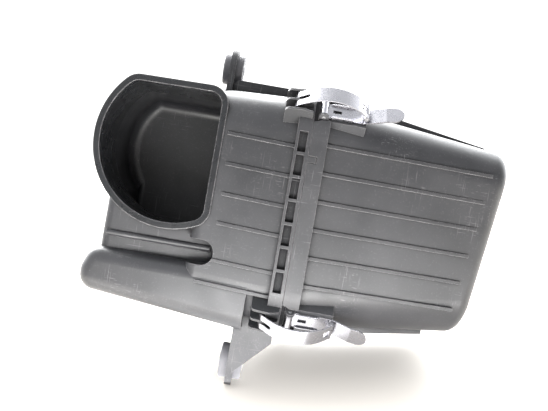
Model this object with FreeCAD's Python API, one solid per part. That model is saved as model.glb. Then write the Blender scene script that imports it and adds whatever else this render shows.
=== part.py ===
"""Air filter housing for a car engine, in millimetres.

X runs along the ribs, from the inlet end to the closed end of the cover. Z is up. The ribbed front faces -Y.
The shapes are built about the middle of the joint between base and cover, and are moved on export so that
the origin is the centre of the lower mounting bush.
"""

import FreeCAD, Part
import math
import os
from FreeCAD import Rotation, Vector

# ---- Driving dimensions -----------------------------------------------------------------------------------
WALL = 2.5  # moulded wall
GAP = 0.3  # between pieces that move past each other

FRONT = 5.0  # front wall at the joint
REAR = 170.0  # rear wall at the joint
FRONT_HALF = 78.5  # half height where the side would meet the front wall
SIDE_SLOPE = math.tan(math.radians(10.0))  # how fast the sides part towards the rear
CORNER = 28.0  # rounding of the two front corners
REAR_CORNER = 16.0

FLANGE_OUT = 5.0  # how far both flanges stand out of the walls
BASE_FLANGE = (-12.0, -2.0)
COVER_FLANGE = (-1.7, 10.0)
REBATE_DEEP = 4.0  # each flange is cut back this far for the filter's gasket
FILTER_INSET = 11.0  # inside of the filter's frame

BASE_END = -75.0  # left end of the tall part of the base
BASE_SLOPE = math.tan(math.radians(6.0))
COVER_END = 141.0  # closed end of the cover, at mid height
COVER_SLOPE = math.tan(math.radians(7.0))
COVER_TAPER = math.tan(math.radians(5.5))
COVER_LEAN = 0.13  # the closed end is longer at the top
END_ROUND = 11.0

RIB_WIDE = 2.3
RIB_PROUD = 1.3
COVER_RIBS = [20.0 * k - 50.0 for k in range(6)]
BASE_RIB_TILT = 2.0  # the base's ribs climb a little towards the inlet
# each base rib's height, and where its left end is
BASE_RIBS = {46.0: -60.0, 24.5: -58.0, 3.0: -57.0, -18.0: -57.0, -44.5: -72.0, -61.5: -66.0}

WEB_Y = 104.0  # a stiffening web runs along X on both sides of the housing
WEB_THICK = 2.5
WEB_TOP = 102.0  # its height on the base
WEB_LEFT = -76.0
WEB_CORNER = 10.0
WEB_RISE = 1.5  # how much taller it is on the cover, at the joint
WEB_FALL = 0.155  # how fast it drops towards the cover's closed end
WEB_FOOT = 60.0  # it starts inside the walls

INLET_X = -96.0
INLET_Z = 33.0
INLET_R = 60.0  # outer radius of the round side of the mouth
INLET_RIGHT = 33.0  # from the centre to the flat right side
INLET_TOP = 46.5  # from the centre to the flat top
INLET_WALL = 3.0
INLET_DEEP = 78.0  # back end of the duct inside the base
INLET_BACK = 132.0
INLET_PROUD = 1.2  # how far the rim stands out of the base's front

LOBE_LEFT = -151.5
LOBE_RIGHT = -28.0
LOBE_TOP = -48.0
LOBE_BACK = 146.0
LOBE_NECK = 6.5  # the lobe is this much narrower at its top
LOBE_WIDEST = -64.0
LOBE_BOTTOM = (-80.0, -89.5)  # at its left and right ends
CHANNEL_LEFT = -141.0
CHANNEL_END = -56.0  # closed end of the channel between mouth and lobe
CHANNEL_TOP = -30.0
CHANNEL_FLOOR = 29.0
RIDGE_R = 2.4  # a rounded ridge along the floor of the channel
RIDGE_Z = -37.0

TILT = 50.0  # the latch faces this far round from upright, so 40 degrees from straight ahead
LATCH_WIDE = 14.0
LUG_GAP = 0.4  # between a lever and the lugs beside it
LUG_THICK = 2.2
LUG_R = 3.4
PIVOT = (4.5, 32.2)  # lever pivot: along X, and out from the corner's centre
BOW_PIVOT = (34.0, 35.0)
PIVOT_PIN = 1.3
BOW_PIN = 1.1
RUNNING = 0.06
BOW_THICK = 0.9
SEAT_END = 35.0
LEVER_THICK = 1.2

HINGE_X = 0.0
HINGE_Y = 181.5
HINGE_BAR = 2.4
HINGE_HEIGHTS = (-62.0, 0.0, 62.0)

EAR_THICK = 5.0
EAR_HOLE = 8.0
EAR_ROUND = 18.0
GROMMET_R = 13.0
GROMMET_DISC = 6.0
BUSH_R = 5.2
BUSH_BORE = 3.3
LOWER_EAR = Vector(-31.0, 45.0, -119.0)
UPPER_EAR = Vector(-72.5, 118.0, 112.0)

OUTLET_X = 78.0
OUTLET_R = 38.0
OUTLET_END = 216.0
OUTLET_WALL = 3.0
OUTLET_ROOT_R = 39.5
OUTLET_ROOT_END = 191.0  # the hose goes over what is beyond this
SENSOR_Y = 181.0
SENSOR_TOP = OUTLET_R + 5.0  # top of the pad the sensor is screwed to
SENSOR_SCREW = 13.0  # from the middle of the sensor to each screw

OUT = "parts"


# ---- Small helpers ----------------------------------------------------------------------------------------
def block(low, high):
    """A box from one corner to the opposite one."""
    low, high = Vector(*low), Vector(*high)
    size = high - low
    return Part.makeBox(size.x, size.y, size.z, low)


def rod(radius, start, end):
    """A cylinder between two points."""
    start, end = Vector(*start), Vector(*end)
    return Part.makeCylinder(radius, (end - start).Length, start, end - start)


def tube(outer, inner, start, end):
    return rod(outer, start, end).cut(rod(inner, start, end))


def slab(points, thick):
    """A flat outline drawn out by a vector."""
    return Part.Face(Part.makePolygon(points + points[:1])).extrude(thick)


def rounded(points, radii):
    """A closed wire through the points, with a tangent arc at each corner that has a radius."""
    corners = []
    for k, point in enumerate(points):
        if radii[k] == 0:
            corners.append((point, None, point))
            continue
        back = (points[k - 1] - point).normalize()
        ahead = (points[(k + 1) % len(points)] - point).normalize()
        half = back.getAngle(ahead) / 2
        reach = radii[k] / math.tan(half)
        middle = point + (back + ahead).normalize() * (radii[k] / math.sin(half) - radii[k])
        corners.append((point + back * reach, middle, point + ahead * reach))
    edges = []
    for k, (first, middle, last) in enumerate(corners):
        if middle:
            edges.append(Part.Arc(first, middle, last).toShape())
        edges.append(Part.LineSegment(last, corners[(k + 1) % len(corners)][0]).toShape())
    return Part.Wire(edges)


def section(x, inset, front, rear, half, lean=0.0):
    """The housing's outline at one place along X: a rounded trapezium, moved inwards by inset."""
    tilt = math.atan(SIDE_SLOPE)
    near, far = front + inset, rear - inset
    low = half + (near - front) * SIDE_SLOPE - inset / math.cos(tilt)
    high = half + (far - front) * SIDE_SLOPE - inset / math.cos(tilt)
    yz = [(near, -low), (near, low), (far, high), (far, -high)]
    radii = [CORNER - inset, CORNER - inset, REAR_CORNER - inset, REAR_CORNER - inset]
    return rounded([Vector(x + lean * z, y, z) for y, z in yz], radii)


def joint_prism(x0, x1, inset):
    """A straight length of the outline that both flanges share."""
    wires = [section(x, inset, FRONT, REAR, FRONT_HALF) for x in (x0, x1)]
    return Part.makeLoft(wires, True, True)


def ring(x0, x1, outer, inner):
    return joint_prism(x0, x1, outer).cut(joint_prism(x0 - 1, x1 + 1, inner))


def union(shapes):
    return shapes[0].multiFuse(shapes[1:]).removeSplitter()


def largest(shape):
    """The biggest solid of a shape, without the slivers a cut has left."""
    return max(shape.Solids, key=lambda s: s.Volume)


def filleted(shape, radius, chosen):
    """Rounds the edges that the test picks by their middle point."""
    edges = [e for e in shape.Edges if chosen(e.valueAt((e.FirstParameter + e.LastParameter) / 2))]
    return shape.makeFillet(radius, edges)


def at_corner(shape, upper):
    """Turns a latch piece, built as X, width, outwards, into its place on a front corner."""
    tilt = math.atan(SIDE_SLOPE)
    centre_z = FRONT_HALF + CORNER * SIDE_SLOPE - CORNER / math.cos(tilt)
    placed = shape.copy()
    placed.rotate(Vector(), Vector(1, 0, 0), TILT)
    placed.translate(Vector(0, FRONT + CORNER, centre_z))
    return placed if upper else placed.mirror(Vector(), Vector(0, 0, 1))


# ---- The two bodies as solids, which the walls and everything on them are cut from ------------------------
def base_front(x):
    """Where the base's front wall stands, which falls back towards the left."""
    return FRONT - x * BASE_SLOPE


def cover_front(x):
    """Where the cover's front wall stands, which falls back towards the right."""
    return FRONT + x * COVER_SLOPE


def base_box(inset):
    """The tall part of the base, from the joint to its left end."""
    left = BASE_END + inset
    wires = [
        section(BASE_FLANGE[1], inset, FRONT, REAR, FRONT_HALF),
        section(left, inset, base_front(left), REAR - 6.0, FRONT_HALF - 2.0),
    ]
    box = Part.makeLoft(wires, True, True)
    return filleted(box, max(9.0 - inset, 1.0), lambda p: abs(p.x - left) < 0.01)


def cover_box(inset):
    """The cover, from the joint to its closed end."""
    end = COVER_END - inset
    wires = [
        section(COVER_FLANGE[0], inset, FRONT, REAR, FRONT_HALF),
        section(end, inset, cover_front(end), REAR - 8.0, FRONT_HALF - end * COVER_TAPER, COVER_LEAN),
    ]
    box = Part.makeLoft(wires, True, True)
    return filleted(box, END_ROUND - inset, lambda p: abs(p.x - end - COVER_LEAN * p.z) < 0.01)


def mouth(inset, y0, y1):
    """The inlet's outline, a circle with a flat top and a flat right side, drawn out from y0 to y1."""
    radius = INLET_R - inset
    right, top = INLET_RIGHT - inset, INLET_TOP - inset
    disc = rod(radius, (INLET_X, y0, INLET_Z), (INLET_X, y1, INLET_Z))
    clip = block((INLET_X - radius, y0, INLET_Z - radius), (INLET_X + right, y1, INLET_Z + top))
    shape = disc.common(clip)
    upright = []
    for edge in shape.Edges:
        if len(edge.Vertexes) == 2 and abs(edge.tangentAt(edge.FirstParameter).y) > 0.99:
            upright.append(edge)
    return shape.makeFillet(14.0 - inset, upright)


def ahead_of(front, offset):
    """Everything in front of a sloping front plane, moved back by offset."""
    xs = (-200.0, 200.0)
    points = [Vector(xs[1], -60, -200), Vector(xs[0], -60, -200)]
    points += [Vector(x, front(x) + offset, -200) for x in xs]
    return slab(points, Vector(0, 0, 400))


def lobe(inset):
    """The rounded chamber under the mouth, whose front is the base's front plane."""
    left, top = LOBE_LEFT + inset, LOBE_TOP - inset
    low_left, low_right = LOBE_BOTTOM[0] + inset, LOBE_BOTTOM[1] + inset
    start = -20.0
    xz = [(LOBE_RIGHT, top), (left + LOBE_NECK, top), (left, LOBE_WIDEST), (left, low_left),
          (LOBE_RIGHT, low_right)]
    radii = [0, 13.0 - inset, 11.0 - inset, 12.0 - inset, 0]
    outline = rounded([Vector(x, start, z) for x, z in xz], radii)
    shape = Part.Face(outline).extrude(Vector(0, LOBE_BACK - inset - start, 0))
    shape = shape.cut(ahead_of(base_front, inset))

    def on_front(p):
        return abs(p.y - base_front(p.x) - inset) < 0.01 and p.x < LOBE_RIGHT - 1.0

    return filleted(shape, 11.0 - inset, on_front)


def channel_back(inset):
    """The block behind the channel, which joins the duct to the lobe."""
    left = CHANNEL_LEFT + inset
    low = (left, CHANNEL_FLOOR + inset, LOBE_TOP - 12.0)
    high = (BASE_END + 14.0, INLET_BACK - inset, INLET_Z - 20.0)

    def upright_left(p):
        return abs(p.x - left) < 0.01 and low[2] + 1 < p.z < high[2] - 1

    return filleted(block(low, high), 7.0 - inset, upright_left)


def channel(grow):
    """The open channel along X, round at its closed end."""
    low, high = LOBE_TOP - grow, CHANNEL_TOP + grow
    radius, middle = (high - low) / 2, (high + low) / 2
    end = CHANNEL_END + grow - radius
    floor = CHANNEL_FLOOR + grow
    return union([
        block((LOBE_LEFT - 20, -20, low), (end, floor, high)),
        rod(radius, (end, -20, middle), (end, floor, middle)),
    ])


# ---- Base -------------------------------------------------------------------------------------------------
def web(side, outline):
    """A thin web with this outline in X and height, on the upper side (1) or the lower side (-1)."""
    return slab([Vector(x, WEB_Y, side * z) for x, z in outline], Vector(0, WEB_THICK, 0))


def base_webs():
    right = BASE_FLANGE[0]
    outline = [(WEB_LEFT, WEB_FOOT), (WEB_LEFT, WEB_TOP - WEB_CORNER), (WEB_LEFT + WEB_CORNER, WEB_TOP),
               (right, WEB_TOP), (right, WEB_FOOT)]
    return [web(side, outline) for side in (1, -1)]


def cover_webs():
    left, top = COVER_FLANGE[1], WEB_TOP + WEB_RISE
    webs = []
    for side in (1, -1):
        end = COVER_END + side * COVER_LEAN * WEB_TOP - 5.0
        upper = [(left, top - left * WEB_FALL), (end, top - end * WEB_FALL)]
        webs.append(web(side, [(left, WEB_FOOT)] + upper + [(end, WEB_FOOT)]))
    return webs


def base_solid():
    duct = mouth(0.0, -20.0, INLET_BACK).cut(ahead_of(base_front, 0.0))
    duct = filleted(duct, 12.0, lambda p: abs(p.y - INLET_BACK) < 0.01)
    body = union([base_box(0.0), duct, lobe(0.0), channel_back(0.0)] + base_ribs() + base_webs())
    return body.cut(channel(0.0))


def base_hollow():
    back = mouth(INLET_WALL, INLET_DEEP, INLET_BACK - WALL)
    back = filleted(back, 12.0 - WALL, lambda p: abs(p.y - INLET_BACK + WALL) < 0.01)
    chamber = union([base_box(WALL), lobe(WALL), channel_back(WALL), back]).cut(channel(WALL))
    opening = joint_prism(BASE_FLANGE[1] - 6.0, BASE_FLANGE[1] + 1.0, WALL)
    return chamber.fuse(opening)


def base_ribs():
    ribs = []
    for height, left in BASE_RIBS.items():
        rib = block((left, -10, height - RIB_WIDE / 2), (BASE_FLANGE[0] + 1, 40, height + RIB_WIDE / 2))
        rib.rotate(Vector(BASE_FLANGE[0], 0, height), Vector(0, 1, 0), BASE_RIB_TILT)
        ribs.append(rib.cut(ahead_of(base_front, -RIB_PROUD)))
    return ribs


def make_base_shell(solid):
    ridge_ends = [(x, CHANNEL_FLOOR, RIDGE_Z) for x in (CHANNEL_LEFT + 4.0, CHANNEL_END - 4.0)]
    ridge = rod(RIDGE_R, *ridge_ends)
    body = union([solid, ridge])
    body = body.cut(base_hollow())
    body = body.cut(mouth(0.0, -20.0, INLET_DEEP))
    return body.cut(joint_prism(BASE_FLANGE[0], BASE_FLANGE[1] + 1.0, -FLANGE_OUT - 1.0))


def make_inlet_duct():
    duct = mouth(0.0, -20.0, INLET_DEEP).cut(mouth(INLET_WALL, -21.0, INLET_DEEP + 1.0))
    front = ahead_of(base_front, -INLET_PROUD)
    lip = mouth(0.0, -5.0, 40.0).cut(mouth(INLET_WALL + 1.6, -6.0, 41.0))
    lip = lip.cut(front).common(ahead_of(base_front, 6.0))
    return union([duct.cut(front), lip])


def pocket_spans(start, end, pitch, web):
    """The pockets between the webs of the flange, along one side."""
    count = round((end - start) / pitch)
    step = (end - start) / count
    return [(start + k * step + web / 2, start + (k + 1) * step - web / 2) for k in range(count)]


def make_base_flange():
    flange = ring(*BASE_FLANGE, -FLANGE_OUT, WALL)
    rebate = joint_prism(BASE_FLANGE[1] - REBATE_DEEP, BASE_FLANGE[1] + 1, 0.0)
    rail, deep = 1.7, FLANGE_OUT - 0.8
    x0, x1 = BASE_FLANGE[0] + rail, BASE_FLANGE[1] - rail - 0.6
    pockets = []
    for z0, z1 in pocket_spans(-58.0, 58.0, 16.0, 2.0):
        pockets.append(block((x0, -FLANGE_OUT, z0), (x1, FRONT - 0.8, z1)))
    tilt = math.degrees(math.atan(SIDE_SLOPE))
    for y0, y1 in pocket_spans(42.0, 158.0, 19.0, 2.0):
        pocket = block((x0, y0, FRONT_HALF + 0.8), (x1, y1, FRONT_HALF + FLANGE_OUT + 2.0))
        pocket.rotate(Vector(0, FRONT, FRONT_HALF), Vector(1, 0, 0), tilt)
        pockets += [pocket, pocket.mirror(Vector(), Vector(0, 0, 1))]
    flange = flange.cut(Part.makeCompound(pockets)).cut(rebate)
    tab = block((BASE_FLANGE[1] - 1.0, 0.0, 36.0), (4.0, 2.0, 40.0))
    return union([flange, tab])


def make_latch_bracket(solid, upper):
    """Three plates that stand on the corner, with a lip between them for the bow's fork."""
    pitch, thick = 9.9, 2.0
    profile = rounded(
        [Vector(-23, 0, 20), Vector(BASE_FLANGE[1] - 1.0, 0, 20), Vector(BASE_FLANGE[1] - 1.0, 0, 36.0),
         Vector(-10.0, 0, 37.8), Vector(-23, 0, 36.5)],
        [0.5, 0.5, 2.0, 6.0, 3.0],
    )
    plate = Part.Face(profile).extrude(Vector(0, thick, 0))
    pieces = []
    for k in (-1, 0, 1):
        one = plate.copy()
        one.translate(Vector(0, k * pitch - thick / 2, 0))
        pieces.append(one)
    pieces.append(block((-14.5, -pitch, 20.0), (-10.5, pitch, 31.0)))
    pieces.append(block((-22.0, -pitch, 20.0), (BASE_FLANGE[0], pitch, 26.6)))
    bracket = at_corner(union(pieces), upper)
    kept = bracket.cut(solid).cut(joint_prism(BASE_FLANGE[0], BASE_FLANGE[1] + 2, -FLANGE_OUT))
    return largest(kept)


def make_hinge_lugs():
    """Pairs of lugs on the base's rear edge, each with a short bar that a hook of the cover turns on."""
    groups = []
    for z in HINGE_HEIGHTS:
        pieces = [rod(HINGE_BAR, (HINGE_X, HINGE_Y, z - 12), (HINGE_X, HINGE_Y, z + 12))]
        for side in (-1, 1):
            z0, z1 = sorted((z + side * 8.5, z + side * 12.0))
            foot = [(-11.0, REAR + FLANGE_OUT), (BASE_FLANGE[1], REAR + FLANGE_OUT)]
            tip = [(2.0, HINGE_Y - 3.4), (-1.0, HINGE_Y + 3.6), (-5.0, HINGE_Y + 2.0)]
            arm = [Vector(x, y, z0) for x, y in foot + tip]
            knuckle = rod(4.0, (HINGE_X, HINGE_Y, z0), (HINGE_X, HINGE_Y, z1))
            pieces += [slab(arm, Vector(0, 0, z1 - z0)), knuckle]
        groups.append(union(pieces))
    return Part.makeCompound(groups)


def make_ear(centre, foot_z):
    """A plate across X with a round end and a hole for the grommet."""
    x0, x1 = centre.x - EAR_THICK / 2, centre.x + EAR_THICK / 2
    z0, z1 = sorted((centre.z, foot_z))
    ear = block((x0, centre.y - EAR_ROUND, z0), (x1, centre.y + EAR_ROUND, z1))
    ear = ear.fuse(rod(EAR_ROUND, (x0, centre.y, centre.z), (x1, centre.y, centre.z)))
    return ear.cut(rod(EAR_HOLE, (x0 - 1, centre.y, centre.z), (x1 + 1, centre.y, centre.z)))


def make_lower_ear(solid):
    centre = LOWER_EAR
    face = centre.x + EAR_THICK / 2
    near = centre.y - EAR_ROUND
    outline = [(face - 1, -70), (-4, -70), (-4, -98), (face - 1, -124)]
    gusset = slab([Vector(x, near, z) for x, z in outline], Vector(0, 3.0, 0))
    ear = union([make_ear(centre, -70.0), gusset])
    ear = ear.cut(solid).cut(joint_prism(BASE_FLANGE[0], BASE_FLANGE[1] + 2, -FLANGE_OUT))
    return largest(ear)


def make_upper_ear(solid):
    centre = UPPER_EAR
    near = centre.y + EAR_ROUND - 3.0
    outline = [(centre.x, 80), (centre.x + 26, 80), (centre.x, 118)]
    gusset = slab([Vector(x, near, z) for x, z in outline], Vector(0, 3.0, 0))
    ear = union([make_ear(centre, 70.0), gusset]).cut(solid)
    return largest(ear)


def make_grommet(centre):
    """A rubber spool: a disc on each side of the ear and a neck through its hole."""
    half = EAR_THICK / 2
    outer = half + GROMMET_DISC
    pieces = [rod(EAR_HOLE, (centre.x - half, centre.y, centre.z), (centre.x + half, centre.y, centre.z))]
    for side in (-1, 1):
        inner_x, outer_x = centre.x + side * half, centre.x + side * outer
        disc = rod(GROMMET_R, (inner_x, centre.y, centre.z), (outer_x, centre.y, centre.z))
        pieces.append(filleted(disc, 1.5, lambda p: abs(p.x - outer_x) < 0.01))
    bore = rod(BUSH_R, (centre.x - outer - 1, centre.y, centre.z), (centre.x + outer + 1, centre.y, centre.z))
    return union(pieces).cut(bore)


def make_bush(centre):
    """A steel bush that stands out of its grommet a little at both ends."""
    reach = EAR_THICK / 2 + GROMMET_DISC + 0.6
    start = (centre.x - reach, centre.y, centre.z)
    end = (centre.x + reach, centre.y, centre.z)
    return tube(BUSH_R, BUSH_BORE, start, end)


# ---- Filter element ---------------------------------------------------------------------------------------
def make_filter_gasket():
    """The rubber seal that fills both rebates, with a little room around it."""
    return ring(BASE_FLANGE[1] - REBATE_DEEP, COVER_FLANGE[0] + REBATE_DEEP - GAP, 0.5, FILTER_INSET)


def make_filter_frame():
    return ring(-42.0, BASE_FLANGE[1] - REBATE_DEEP, 7.8, FILTER_INSET)


def make_filter_pleats():
    """One sheet of paper folded to and fro."""
    pitch, x0, x1, overlap = 8.0, -40.0, -14.5, 7.0
    reach = FRONT_HALF + (REAR - FRONT) * SIDE_SLOPE
    count = int(2 * reach / pitch)
    front = []
    for k in range(2 * count + 1):
        front.append(Vector(x0 if k % 2 else x1, 0, (k / 2) * pitch - reach))
    back = [p + Vector(overlap, 0, 0) for p in reversed(front)]
    sheet = slab(front + back, Vector(0, REAR, 0))
    kept = sheet.common(joint_prism(x0 - 1, x1 + overlap + 1, FILTER_INSET))
    return largest(kept)


# ---- Cover ------------------------------------------------------------------------------------------------
def make_cover_shell(solid):
    ribs = []
    for height in COVER_RIBS:
        end = COVER_END + COVER_LEAN * height - 14.0
        rib = block((COVER_FLANGE[1], -10, height - RIB_WIDE / 2), (end, 60, height + RIB_WIDE / 2))
        ribs.append(rib.cut(ahead_of(cover_front, -RIB_PROUD)))
    body = union([solid] + ribs + cover_webs())
    body = body.cut(cover_box(WALL)).cut(joint_prism(COVER_FLANGE[0] - 1, COVER_FLANGE[0] + 6, WALL))
    body = body.cut(joint_prism(COVER_FLANGE[0] - 1, COVER_FLANGE[1], -FLANGE_OUT - 1.0))
    return body.cut(rod(OUTLET_ROOT_R, (OUTLET_X, REAR - 30, 0), (OUTLET_X, REAR + 10, 0)))


def latch_window(upper):
    """The place in the cover's flange that a lever swings in."""
    scoop = union([
        block((COVER_FLANGE[0] - 2, -10.6, 28.6), (COVER_FLANGE[1] + 2, 10.6, 60.0)),
        rod(13.0, (-4.0, 0, 28.6), (-4.0, 0, 60.0)),
    ])
    return at_corner(scoop, upper)


def make_cover_flange():
    flange = ring(*COVER_FLANGE, -FLANGE_OUT, WALL)
    flange = flange.cut(joint_prism(COVER_FLANGE[0] - 1, COVER_FLANGE[0] + REBATE_DEEP, 0.0))
    for upper in (True, False):
        flange = flange.cut(latch_window(upper))
    return flange.cut(block((COVER_FLANGE[0] - 1, -1.0, 35.5), (4.6, 2.6, 40.5)))


def make_latch_seat(solid, upper):
    """The pad under a lever, with the two lugs that hold its pivot pin."""
    x, out = PIVOT
    inner = LATCH_WIDE / 2 + LUG_GAP
    outer = inner + LUG_THICK
    pieces = [block((1.0, -outer, 18.0), (SEAT_END, outer, 29.6))]
    for side in (-1, 1):
        w0, w1 = sorted((side * inner, side * outer))
        lug = block((x - LUG_R, w0, 20.0), (x + LUG_R, w1, out))
        pieces += [lug, rod(LUG_R, (x, w0, out), (x, w1, out))]
    seat = union(pieces).cut(rod(PIVOT_PIN, (x, -20, out), (x, 20, out)))
    seat = at_corner(seat, upper).cut(solid).cut(make_cover_flange())
    return largest(seat)


def make_hinge_hooks():
    """Hooks on the cover's rear edge that grip the base's bars."""
    hooks = []
    for z in HINGE_HEIGHTS:
        z0, z1 = z - 8.0, z + 8.0
        loop = tube(5.2, HINGE_BAR + RUNNING, (HINGE_X, HINGE_Y, z0), (HINGE_X, HINGE_Y, z1))
        arm = block((HINGE_X + 3.4, REAR + FLANGE_OUT, z0), (COVER_FLANGE[1] - 1.0, HINGE_Y, z1))
        arm = arm.cut(rod(4.0, (HINGE_X, HINGE_Y, z0 - 1), (HINGE_X, HINGE_Y, z1 + 1)))
        mouth_cut = block((HINGE_X - 12, HINGE_Y - 1.2, z0 - 1), (HINGE_X, HINGE_Y + 1.2, z1 + 1))
        hooks.append(union([loop.cut(mouth_cut), arm]))
    return Part.makeCompound(hooks)


def make_outlet_collar(solid):
    """A short round outlet, thicker at its root, with a pad on top for the sensor."""
    y0 = REAR - 16.0
    bore = OUTLET_R - OUTLET_WALL
    root = tube(OUTLET_ROOT_R, bore, (OUTLET_X, y0, 0), (OUTLET_X, OUTLET_ROOT_END, 0))
    spigot = tube(OUTLET_R, bore, (OUTLET_X, OUTLET_ROOT_END, 0), (OUTLET_X, OUTLET_END, 0))
    shoulder = tube(OUTLET_R + 5.0, OUTLET_R - 1.0, (OUTLET_X, REAR - 8.0, 0), (OUTLET_X, REAR - 2.0, 0))
    pad = block((OUTLET_X - 17, SENSOR_Y - 9, OUTLET_R - 8), (OUTLET_X + 17, SENSOR_Y + 9, SENSOR_TOP))
    pad = pad.cut(rod(OUTLET_R - 1.0, (OUTLET_X, y0, 0), (OUTLET_X, OUTLET_END, 0)))
    collar = union([root, spigot, shoulder.cut(solid), pad])
    collar = collar.cut(rod(7.0, (OUTLET_X, SENSOR_Y, 10), (OUTLET_X, SENSOR_Y, 60)))
    for side in (-1, 1):
        x = OUTLET_X + side * SENSOR_SCREW
        collar = collar.cut(rod(1.6, (x, SENSOR_Y, OUTLET_R - 5), (x, SENSOR_Y, OUTLET_R + 6)))
    return collar


def make_sensor():
    """The air flow sensor: a plug with a slot for the air, a plate with two screw holes, and a socket."""
    top = SENSOR_TOP
    plate = block((OUTLET_X - 17, SENSOR_Y - 9, top), (OUTLET_X + 17, SENSOR_Y + 9, top + 3))
    for side in (-1, 1):
        x = OUTLET_X + side * SENSOR_SCREW
        plate = plate.cut(rod(1.9, (x, SENSOR_Y, top - 1), (x, SENSOR_Y, top + 4)))
    plug = rod(6.4, (OUTLET_X, SENSOR_Y, 6.0), (OUTLET_X, SENSOR_Y, top))
    probe_slot = block((OUTLET_X - 2.5, SENSOR_Y - 8, 8.0), (OUTLET_X + 2.5, SENSOR_Y + 8, 20.0))
    groove = tube(8.0, 5.2, (OUTLET_X, SENSOR_Y, top - 6), (OUTLET_X, SENSOR_Y, top - 3.6))
    socket = block((OUTLET_X - 9, SENSOR_Y - 6, top + 3), (OUTLET_X + 9, SENSOR_Y + 6, top + 19))
    socket = filleted(socket, 2.5, lambda p: top + 4 < p.z < top + 18)
    hollow = block((OUTLET_X - 7, SENSOR_Y - 4, top + 8), (OUTLET_X + 7, SENSOR_Y + 4, top + 20))
    return union([plate, plug.cut(probe_slot).cut(groove), socket.cut(hollow)])


def make_sensor_pins():
    bottom = SENSOR_TOP + 8.0
    pins = []
    for k in range(5):
        x = OUTLET_X - 5.0 + 2.5 * k
        pins.append(block((x - 0.4, SENSOR_Y - 0.4, bottom), (x + 0.4, SENSOR_Y + 0.4, bottom + 5.0)))
    return Part.makeCompound(pins)


def make_sensor_ring():
    return tube(6.9, 5.2, (OUTLET_X, SENSOR_Y, SENSOR_TOP - 5.9), (OUTLET_X, SENSOR_Y, SENSOR_TOP - 3.7))


def make_sensor_screws():
    """Two screws with crossed slots, through the sensor's plate into the pad."""
    top = SENSOR_TOP + 3.0
    screws = []
    for side in (-1, 1):
        x = OUTLET_X + side * SENSOR_SCREW
        head = rod(3.4, (x, SENSOR_Y, top), (x, SENSOR_Y, top + 2.4))
        cross = block((x - 2.2, SENSOR_Y - 0.5, top + 1.2), (x + 2.2, SENSOR_Y + 0.5, top + 3))
        cross = cross.fuse(block((x - 0.5, SENSOR_Y - 2.2, top + 1.2), (x + 0.5, SENSOR_Y + 2.2, top + 3)))
        screws.append(head.cut(cross).fuse(rod(1.6, (x, SENSOR_Y, top - 8.0), (x, SENSOR_Y, top))))
    return Part.makeCompound(screws)


# ---- Latches ----------------------------------------------------------------------------------------------
def band(edges, thick, wide):
    """A strip whose centre line is the edges, in the X and outward plane."""
    wire = Part.Wire(edges)
    inner = wire.makeOffset2D(thick / 2, 0, False, True)
    face = inner.makeOffset2D(-thick, 0, True, True)
    strip = face.extrude(Vector(0, wide, 0))
    strip.translate(Vector(0, -wide / 2, 0))
    return strip


def arc(a, b, c):
    return Part.Arc(Vector(a[0], 0, a[1]), Vector(b[0], 0, b[1]), Vector(c[0], 0, c[1])).toShape()


def line(a, b):
    return Part.LineSegment(Vector(a[0], 0, a[1]), Vector(b[0], 0, b[1])).toShape()


def make_lever():
    """A long strip that turns on its pin, bent up to a round end, with a post that carries the bow's pin."""
    x, out = PIVOT
    bow_x, bow_out = BOW_PIVOT
    seat = out - PIVOT_PIN - RUNNING - LEVER_THICK / 2
    knuckle_r = PIVOT_PIN + RUNNING + LEVER_THICK
    half = LATCH_WIDE / 2
    bend, crest, tip = (33.0, seat), (48.0, seat + 5.6), (60.0, seat + 8.0)
    leg = band([line((x, seat), bend), line(bend, crest), line(crest, tip)], LEVER_THICK, LATCH_WIDE)
    plan = union([
        block((x, -half, 0), (tip[0] - half, half, 60)),
        rod(half, (tip[0] - half, 0, 0), (tip[0] - half, 0, 60)),
    ])
    leg = leg.common(plan)
    knuckle = rod(knuckle_r, (x, -half, out), (x, half, out))
    post = block((bow_x - 1.6, -2.8, seat), (bow_x + 1.6, 2.8, bow_out))
    post = post.fuse(rod(2.3, (bow_x, -2.8, bow_out), (bow_x, 2.8, bow_out)))
    lever = union([leg, knuckle, post])
    lever = lever.cut(rod(PIVOT_PIN + RUNNING, (x, -20, out), (x, 20, out)))
    lever = lever.cut(rod(BOW_PIN, (bow_x, -20, bow_out), (bow_x, 20, bow_out)))
    return lever.cut(block((11.0, -1.6, 20), (17.0, 1.6, 32)))


def make_bow():
    """A sprung strip from the lever's post, over the joint, that ends as a forked hook behind the bracket."""
    bow_x, bow_out = BOW_PIVOT
    half = LATCH_WIDE / 2
    hook_x = -16.4
    start = (bow_x, bow_out + BOW_PIN + RUNNING + BOW_THICK / 2)
    crest, fall, heel = (9.0, 46.0), (-12.0, 38.6), (hook_x, 34.0)
    path = [arc(start, crest, fall), arc(fall, (-14.9, 36.8), heel), line(heel, (hook_x, 28.4))]
    strip = band(path, BOW_THICK, LATCH_WIDE)
    knuckle = rod(BOW_PIN + RUNNING + BOW_THICK, (bow_x, -half, bow_out), (bow_x, half, bow_out))
    bow = union([strip, knuckle])
    bow = bow.cut(rod(BOW_PIN + RUNNING, (bow_x, -20, bow_out), (bow_x, 20, bow_out)))
    bow = bow.cut(block((bow_x - 4.0, -3.1, bow_out - 6), (bow_x + 6.0, 3.1, bow_out + 6)))
    notch = union([
        block((-30, -1.8, 0), (-9.0, 1.8, 60)),
        rod(1.8, (-9.0, 0, 0), (-9.0, 0, 60)),
    ])
    return bow.cut(notch)


def make_pin(place, radius, reach):
    x, out = place
    return rod(radius, (x, -reach, out), (x, reach, out))


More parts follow.
